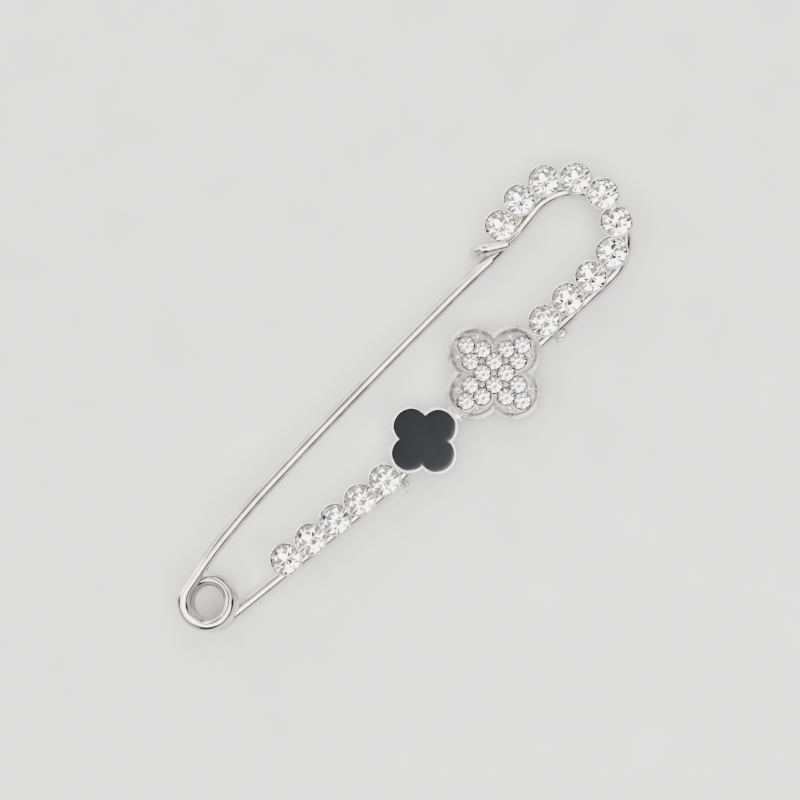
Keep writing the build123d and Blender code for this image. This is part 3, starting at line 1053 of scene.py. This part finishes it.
web_middle = np.array([WEB_X, wire_on_arm(WEB_X), DECK_Z + WEB_HALF[2]])
web_lumps = [
    ball(web_middle, WEB_HALF, squareness=4.0, rows=24, columns=48),
    ball(web_middle + WEB_BEAD_PLACE, WEB_BEAD_R),
]
print("the web stands at", web_middle.round(2).tolist(), "mm")

# %% Drop under the crook's row
DROP_X = 55.0
DROP_REACH = 0.85
DROP_HALF_WIDTH = 0.55
DROP_LUMPS = (
    # place from the middle of the drop, half-sizes
    ((0.25, 0.02, 0.0), (0.72, 0.50, 0.48)),
    ((-0.42, -0.22, -0.08), (0.52, 0.26, 0.34)),
    ((-0.05, 0.20, -0.05), (0.60, 0.30, 0.40)),
)

drop_y = wire_on_arm(DROP_X) - WIRE_R - DROP_REACH + DROP_HALF_WIDTH
drop_middle = np.array([DROP_X, drop_y, ARM_Z])
drop_lumps = [
    ball(drop_middle + place, half, squareness=2.4, rows=20, columns=36) for place, half in DROP_LUMPS
]
print("the drop stands at", drop_middle.round(2).tolist(), "mm")

# %% Burr with its thread, and all the solder
BURR_X = 28.0
BURR_R = 0.38
BURR_REACH = 0.6
BURR_RISE = 0.22
THREAD_R = 0.11
THREAD_BENDS = ((0.05, -0.10, 0.0), (-0.20, -0.42, 0.04), (-0.55, -0.62, -0.05), (-0.70, -0.85, -0.20))

burr_y = wire_on_arm(BURR_X) - WIRE_R - BURR_REACH + BURR_R
burr_middle = np.array([BURR_X, burr_y, ARM_Z + BURR_RISE])
thread = burr_middle + bent_run(np.array(THREAD_BENDS))
burr_lumps = [
    ball(burr_middle, BURR_R),
    tube(thread, np.full(len(thread), THREAD_R), level_side(thread)),
]
solder_shells = [closed_shell(lump) for lump in web_lumps + drop_lumps + burr_lumps]
solder = add_soldered("solder", join_shells(solder_shells), [CAST_METAL])
describe(solder)

# %% [markdown]
# ## Glass and foil
#
# A foiled glass stone is a brilliant cut with a mirror on its back. The glass is rich in lead, which
# raises its index of refraction from 1.5 to about 1.6. The silvering under its lacquer isn't quite even,
# so it changes a little from warm to cool over some millimetres. The foil could be a shell of its own under
# the glass, but light would be lost between the two, so both materials sit on one closed mesh.

# %% Stone materials
FOIL_DRIFT = 2.5
LEAD_GLASS_IOR = 1.6


def glass():
    """Polished lead glass. The eye gets a clear crown with sharp glints."""
    material, tree = new_material("clear_glass_crown")
    clear = node(
        tree, "ShaderNodeBsdfPrincipled", Base_Color=colour("#FFFFFF"), Roughness=0.0, IOR=LEAD_GLASS_IOR,
        Transmission_Weight=1.0,
    )
    node(tree, "ShaderNodeOutputMaterial", Surface=clear.outputs[0])
    return material


def foil():
    """Silvered back of the stone. The eye gets a mirror behind the glass, with a faint change of tint."""
    material, tree = new_material("silvered_foil")
    place = node(tree, "ShaderNodeTexCoord").outputs["Object"]
    drift = node(tree, "ShaderNodeTexNoise", Vector=place, Scale=per_metre(FOIL_DRIFT), Detail=1.0)
    tint = node(
        tree, "ShaderNodeValToRGB", [(0.35, "#F4F3F6"), (0.5, "#F8F7F4"), (0.66, "#F7F1E8")],
        Fac=drift.outputs["Fac"],
    )
    mirror = node(
        tree, "ShaderNodeBsdfPrincipled", Base_Color=tint.outputs[0], Metallic=1.0, Roughness=0.02
    )
    node(tree, "ShaderNodeOutputMaterial", Surface=mirror.outputs[0])
    return material


GLASS = glass()
FOIL = foil()
print("made", GLASS.name, "and", FOIL.name)

# %% [markdown]
# ## Cut of the stones
#
# The crown has an eight-sided table, eight stars, eight kites and sixteen small facets above the girdle.
# The back has eight long kites and sixteen small facets below the girdle. Light goes in through the crown,
# bounces between the mirror facets and comes out again, so a few facets show dark against white, and they
# change with every turn of the stone. Only flat shading gives this, so every facet is a flat face. A kite
# stays flat when its two side corners lie on the plane through its ends:
# z = z_end + (r_end - r * cos(22.5 degrees)) * slope.
#
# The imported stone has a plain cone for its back. The facets go a little deeper than that cone, and the
# whole stone is cut a hair smaller than its seat.

# %% Points of the cut
FACETS = 8
HALF_FACET = 180 / FACETS
TABLE_SHARE = 0.56
CROWN_SHARE = 0.17
CUT_SHARE = 0.985
STAR_R = 0.80
LOWER_R = 0.90


def ring_points(r, z, turned, count):
    """Points round a ring: (r * cos(turn), r * sin(turn), z)."""
    turn = np.radians(turned) + np.arange(count) * 2 * np.pi / count
    return np.stack([r * np.cos(turn), r * np.sin(turn), np.full(count, z)], -1)


def brilliant_points(diameter, girdle_top, turned):
    """Six rings of points: table, stars' corners, girdle above and below, lower corners, culet."""
    r = CUT_SHARE * diameter / 2
    table_r, culet_r = r * TABLE_SHARE, r * CULET_SHARE
    table_z = girdle_top + CROWN_SHARE * diameter
    girdle_low = girdle_top - GIRDLE_SHARE * diameter
    culet_z = girdle_low - PAVILION_SHARE * diameter
    half_step = np.cos(np.radians(HALF_FACET))
    star_z = girdle_top + (r - STAR_R * r * half_step) * (table_z - girdle_top) / (r - table_r)
    lower_z = girdle_low - (r - LOWER_R * r * half_step) * (girdle_low - culet_z) / (r - culet_r)
    return np.concatenate([
        ring_points(table_r, table_z, turned, FACETS),
        ring_points(STAR_R * r, star_z, turned + HALF_FACET, FACETS),
        ring_points(r, girdle_top, turned, 2 * FACETS),
        ring_points(r, girdle_low, turned, 2 * FACETS),
        ring_points(LOWER_R * r, lower_z, turned + HALF_FACET, FACETS),
        ring_points(culet_r, culet_z, turned, FACETS),
    ])


print("a stone has", len(brilliant_points(GLASS_D, GIRDLE_Z, 0.0)), "points")

# %% Faces of the cut


def brilliant_faces():
    """Faces of the crown and of the back, each joining points by their numbers in the six rings."""
    i = np.arange(FACETS)
    after, before = (i + 1) % FACETS, (i - 1) % FACETS
    table, star, lower, culet = i, FACETS + i, 6 * FACETS + i, 7 * FACETS + i
    girdle, under = 2 * FACETS + 2 * i, 4 * FACETS + 2 * i
    above = 2 * FACETS + np.arange(2 * FACETS)
    above_next = np.roll(above, -1)
    crown_facets = (
        (table, star, table[after]),
        (table, star[before], girdle, star),
        (star, girdle, girdle + 1),
        (star, girdle + 1, girdle[after]),
        (above, above + 2 * FACETS, above_next + 2 * FACETS, above_next),
    )
    back_facets = (
        (under, lower[before], culet, lower),
        (lower, culet, culet[after]),
        (under, lower, under + 1),
        (under + 1, lower, under[after]),
    )
    crown = [table.tolist()]
    for facets in crown_facets:
        crown += np.stack(facets, -1).tolist()
    back = [culet[::-1].tolist()]
    for facets in back_facets:
        back += np.stack(facets, -1).tolist()
    return crown, back


CROWN_FACES, BACK_FACES = brilliant_faces()
MIRRORED = np.repeat([0, 1], [len(CROWN_FACES), len(BACK_FACES)])
print(len(CROWN_FACES), "faces down to the girdle and", len(BACK_FACES), "below it")

# %% [markdown]
# ## Setting the stones
#
# A setter drops each stone in as it comes, so each is turned by a different angle about its axis. A fixed
# step that doesn't divide the circle evenly does that without chance. The stones are separate pieces, as
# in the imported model, because each could be taken out and replaced.

# %% Stones in the cups
CUP_STONE_TURN = 37.0


def add_stone(name, spot, diameter, girdle_top, turned, packed):
    """One stone with flat facets, clear in front and mirrored behind."""
    points = spot + brilliant_points(diameter, girdle_top, turned)
    stone = add_piece(name, (points, CROWN_FACES + BACK_FACES), [GLASS, FOIL], "frame", [packed])
    stone.data.shade_flat()
    paint_faces(stone, MIRRORED)
    return stone


for number, spot in enumerate(cup_spots, start=1):
    stone = add_stone(
        f"cut_crystal_{number:02d}", spot, GLASS_D, GIRDLE_Z, CUP_STONE_TURN * number,
        f"crystal_{number:02d}",
    )
describe(stone)

# %% Small stones in their wells
PAVE_STAND = 0.1
PAVE_STONE_TURN = 29.0

pave_girdle_z = PAVE_FLOOR_Z + PAVE_STAND + PAVE_GLASS_D * GIRDLE_SHARE
for number, (x, y) in enumerate(pave_spots, start=1):
    small_stone = add_stone(
        f"cut_pave_crystal_{number:02d}", pave_middle + [x, y, 0], PAVE_GLASS_D, pave_girdle_z,
        PAVE_STONE_TURN * number, f"pave_crystal_{number:02d}",
    )
describe(small_stone)

# %% [markdown]
# ## Enamel
#
# Soft black enamel is poured into the plain clover and cured. Its skin pulls down to the wall, so the fill
# is flat in the middle and rolls off near the wall: its height is top - roll * exp(-distance / width). The
# distance to the wall is the smallest one to the four circles and to the four notches between them. Rows
# that shrink the outline towards the middle come close together near the wall, where the skin bends most.

# %% Enamel paint
SKIN_LENGTH = 2.5
SKIN_DEPTH = 0.1


def enamel_paint():
    """Cured black enamel. The eye gets a soft sheen over near black, on a skin that is slightly uneven."""
    material, tree = new_material("black_enamel")
    place = node(tree, "ShaderNodeTexCoord").outputs["Object"]
    skin = node(tree, "ShaderNodeTexNoise", Vector=place, Scale=per_metre(SKIN_LENGTH), Detail=2.0)
    bump = node(
        tree, "ShaderNodeBump", Strength=0.10, Distance=SKIN_DEPTH * MM, Height=skin.outputs["Fac"]
    )
    tint = node(
        tree, "ShaderNodeValToRGB", [(0.35, "#101113"), (0.65, "#141517")], Fac=skin.outputs["Fac"]
    )
    paint = node(
        tree, "ShaderNodeBsdfPrincipled", Base_Color=tint.outputs[0], Roughness=0.17, IOR=1.45,
        Normal=bump.outputs[0],
    )
    node(tree, "ShaderNodeOutputMaterial", Surface=paint.outputs[0])
    return material


ENAMEL_PAINT = enamel_paint()
print("made", ENAMEL_PAINT.name)

# %% Enamel fill
ENAMEL_WALL_GAP = 0.02
ENAMEL_TOP_DROP = 0.07
ENAMEL_FOOT_RISE = 0.05
ENAMEL_ROLL = 0.018
ENAMEL_ROLL_WIDTH = 0.22
ENAMEL_ROWS = 56
ENAMEL_MIDDLE = 0.02
ENAMEL_SHARP_ANGLE = 60.0


def wall_distance(x, y, lobe_r, offset):
    """Distance to a clover's wall: to a lobe's circle for a point that faces it, else to a notch."""
    notch_r = clover_reach(np.pi / 4, lobe_r, offset)
    notch = notch_r * np.stack([np.cos(QUARTERS + np.pi / 4), np.sin(QUARTERS + np.pi / 4)], -1)
    from_lobe_x = x[..., None] - offset * np.cos(QUARTERS)
    from_lobe_y = y[..., None] - offset * np.sin(QUARTERS)
    faced = np.abs((np.arctan2(from_lobe_y, from_lobe_x) - QUARTERS + np.pi) % (2 * np.pi) - np.pi)
    widest = np.arctan2(notch_r * np.sqrt(0.5), notch_r * np.sqrt(0.5) - offset)
    to_circle = np.where(faced < widest, lobe_r - np.hypot(from_lobe_x, from_lobe_y), np.inf)
    to_notch = np.hypot(x[..., None] - notch[:, 0], y[..., None] - notch[:, 1])
    return np.minimum(to_circle.min(-1), to_notch.min(-1))


def enamel_shell(middle):
    """Fill: rows are the clover's outline times a share, and the height follows the wall's distance."""
    turn = np.linspace(0, 2 * np.pi, CLOVER_COLUMNS, endpoint=False)
    lobe_r = ENAMEL_LOBE_R - ENAMEL_WALL_GAP
    r = clover_reach(turn, lobe_r, ENAMEL_LOBE_OFFSET)
    shares = np.sin(np.linspace(np.pi / 2, ENAMEL_MIDDLE, ENAMEL_ROWS))
    share = np.concatenate([[1.0], shares])[:, None]
    wall = wall_distance(share * r * np.cos(turn), share * r * np.sin(turn), lobe_r, ENAMEL_LOBE_OFFSET)
    z = RIM_Z - ENAMEL_TOP_DROP - ENAMEL_ROLL * np.exp(-wall / ENAMEL_ROLL_WIDTH)
    z[0] = RIM_Z - ENAMEL_DEPTH + ENAMEL_FOOT_RISE
    way = turn + np.radians(ENAMEL_TURN)
    return closed_shell(middle + np.stack([share * r * np.cos(way), share * r * np.sin(way), z], -1))


enamel_fill = add_piece(
    "enamel_fill", enamel_shell(enamel_middle), [ENAMEL_PAINT], "frame", ["enamel"],
    sharp_angle=ENAMEL_SHARP_ANGLE,
)
describe(enamel_fill)

# %% [markdown]
# ## Table
#
# The brooch lies on a plain pale table. One large square is enough, far wider than the picture, with a
# tone that drifts a little as on paper. It is matt, so the eye gets a soft shadow and no glare, and it
# rides on no body of the brooch.

# %% Table
FLOOR_SIZE = 1200.0
FLOOR_GRAIN = 8.0


def add_floor(size):
    """Square pale table at the height that the brooch lies on: (-1 or 1, -1 or 1, 0) * size / 2."""
    corners = np.array([(-1, -1, 0), (1, -1, 0), (1, 1, 0), (-1, 1, 0)]) * size * MM / 2
    mesh = bpy.data.meshes.new("table_top")
    mesh.from_pydata(corners.tolist(), [], [(0, 1, 2, 3)])
    table_top = bpy.data.objects.new("table_top", mesh)
    bpy.context.scene.collection.objects.link(table_top)
    material, tree = new_material("pale_table")
    place = node(tree, "ShaderNodeTexCoord").outputs["Object"]
    grain = node(tree, "ShaderNodeTexNoise", Vector=place, Scale=per_metre(FLOOR_GRAIN), Detail=3.0)
    shade = node(
        tree, "ShaderNodeValToRGB", [(0.3, "#DCDCDA"), (0.7, "#E4E4E2")], Fac=grain.outputs["Fac"]
    )
    matt = node(tree, "ShaderNodeBsdfPrincipled", Base_Color=shade.outputs[0], Roughness=0.6)
    node(tree, "ShaderNodeOutputMaterial", Surface=matt.outputs[0])
    mesh.materials.append(material)


add_floor(FLOOR_SIZE)
print("the table is", FLOOR_SIZE, "mm wide")

# %% [markdown]
# ## Light
#
# A polished wire is a round mirror that shows the whole room, so what the room leaves dark matters as much
# as what is bright. The key box hangs over the decorated side and draws the broad highlight. A window
# beyond the needle draws the thin one, and the dim ceiling between them leaves a grey band along the wire.
#
# Each facet of a stone picks out one patch of the room. Four bright panels, two under the ceiling and two
# at its edge, turn some facets white and leave others dark. Dim cards beyond both ends, and low on the
# decorated side, keep the metal from mirroring a black room. A picture of a studio could give all this at
# once, but a lamp with a name can be moved or dimmed alone.

# %% Soft boxes
BOXES = (
    # name, place, point it faces, size, radiance
    ("key_box", (35, -165, 330), (35, -165, 0), (300, 350), 8.5),
    ("ceiling_card", (35, 215, 330), (35, 215, 0), (760, 390), 0.6),
    ("left_panel", (-190, 10, 320), (-190, 10, 0), (150, 190), 7.0),
    ("right_panel", (260, 10, 320), (260, 10, 0), (130, 190), 7.0),
    ("far_left_panel", (-120, 225, 315), (-120, 225, 0), (130, 230), 7.0),
    ("far_right_panel", (190, 225, 315), (190, 225, 0), (130, 230), 7.0),
    ("window_card", (35, 430, 150), (35, 0, 60), (760, 300), 4.0),
    ("low_card", (35, -520, 95), (35, 0, 95), (760, 180), 0.6),
    ("end_card_coil", (-420, 0, 150), (0, 0, 60), (500, 300), 0.9),
    ("end_card_crook", (490, 0, 150), (70, 0, 60), (500, 300), 0.9),
)


def add_soft_box(name, place, aim, size, radiance):
    """Rectangular lamp at place, in mm, turned towards aim. Its power is pi * area * radiance."""
    data = bpy.data.lights.new(name, "AREA")
    data.shape = "RECTANGLE"
    data.size, data.size_y = size[0] * MM, size[1] * MM
    data.energy = radiance * np.pi * data.size * data.size_y
    lamp = bpy.data.objects.new(name, data)
    place, aim = Vector(place) * MM, Vector(aim) * MM
    turn = (aim - place).to_track_quat("-Z", "Y").to_matrix().to_4x4()
    lamp.matrix_world = Matrix.Translation(place) @ turn
    bpy.context.scene.collection.objects.link(lamp)
    print(f"{name}: {data.energy:.2f} W")


for name, place, facing, size, radiance in BOXES:
    add_soft_box(name, place, facing, size, radiance)

# %% Light of the room
ROOM_STRENGTH = 0.06

world = bpy.data.worlds.new("room")
world.use_nodes = True
room_light = world.node_tree.nodes["Background"]
room_light.inputs["Color"].default_value = colour("#FFFFFF")
room_light.inputs["Strength"].default_value = ROOM_STRENGTH
bpy.context.scene.world = world
print("the room itself gives", ROOM_STRENGTH, "of white")

# %% [markdown]
# ## Finish
#
# The last step brings the view layer up to date.

# %% Finish
bpy.context.view_layer.update()
